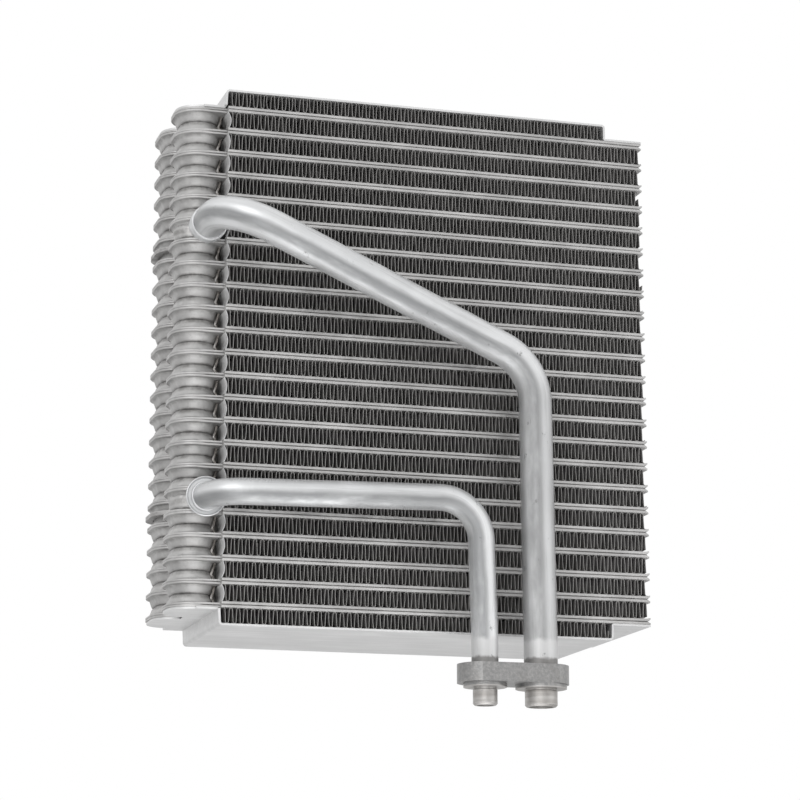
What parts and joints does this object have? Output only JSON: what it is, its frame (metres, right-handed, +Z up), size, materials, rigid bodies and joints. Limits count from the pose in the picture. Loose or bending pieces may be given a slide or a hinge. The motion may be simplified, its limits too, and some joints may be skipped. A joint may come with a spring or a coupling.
{
  "type": "evaporator core",
  "caption": "Laminated plate-and-fin air conditioning evaporator with drawn-cup tanks on one side and bent suction and liquid pipes leading to a two-port valve block",
  "frame": {"origin": "on the axis of the suction port, halfway down the spigot that the expansion valve grips", "axes": "+Z up along the stack of tubes, +X along the tubes away from the tanks, +Y back through the core in the direction of the air"},
  "size_m": [0.2382, 0.1235, 0.2975],
  "materials": {
    "tube_aluminium": "satin",
    "fin_aluminium": "matte",
    "end_plate_aluminium": "satin",
    "pipe_aluminium": "polished",
    "block_aluminium": "machined"
  },
  "bodies": {
    "root": {"tube_01": "tube_aluminium", "tube_02": "tube_aluminium", "tube_03": "tube_aluminium", "tube_04": "tube_aluminium", "tube_05": "tube_aluminium", "tube_06": "tube_aluminium", "tube_07": "tube_aluminium", "tube_08": "tube_aluminium", "tube_09": "tube_aluminium", "tube_10": "tube_aluminium", "tube_11": "tube_aluminium", "tube_12": "tube_aluminium", "tube_13": "tube_aluminium", "tube_14": "tube_aluminium", "tube_15": "tube_aluminium", "tube_16": "tube_aluminium", "tube_17": "tube_aluminium", "tube_18": "tube_aluminium", "tube_19": "tube_aluminium", "tube_20": "tube_aluminium", "tube_21": "tube_aluminium", "tube_22": "tube_aluminium", "tube_23": "tube_aluminium", "fin_01": "fin_aluminium", "fin_02": "fin_aluminium", "fin_03": "fin_aluminium", "fin_04": "fin_aluminium", "fin_05": "fin_aluminium", "fin_06": "fin_aluminium", "fin_07": "fin_aluminium", "fin_08": "fin_aluminium", "fin_09": "fin_aluminium", "fin_10": "fin_aluminium", "fin_11": "fin_aluminium", "fin_12": "fin_aluminium", "fin_13": "fin_aluminium", "fin_14": "fin_aluminium", "fin_15": "fin_aluminium", "fin_16": "fin_aluminium", "fin_17": "fin_aluminium", "fin_18": "fin_aluminium", "fin_19": "fin_aluminium", "fin_20": "fin_aluminium", "fin_21": "fin_aluminium", "fin_22": "fin_aluminium", "fin_23": "fin_aluminium", "fin_24": "fin_aluminium", "top_end_plate": "end_plate_aluminium", "bottom_end_plate": "end_plate_aluminium", "upper_partition": "tube_aluminium", "lower_partition": "tube_aluminium", "suction_nozzle": "pipe_aluminium", "liquid_nozzle": "pipe_aluminium", "suction_pipe": "pipe_aluminium", "liquid_pipe": "pipe_aluminium", "pipe_block": "block_aluminium"}
  },
  "joints": []
}
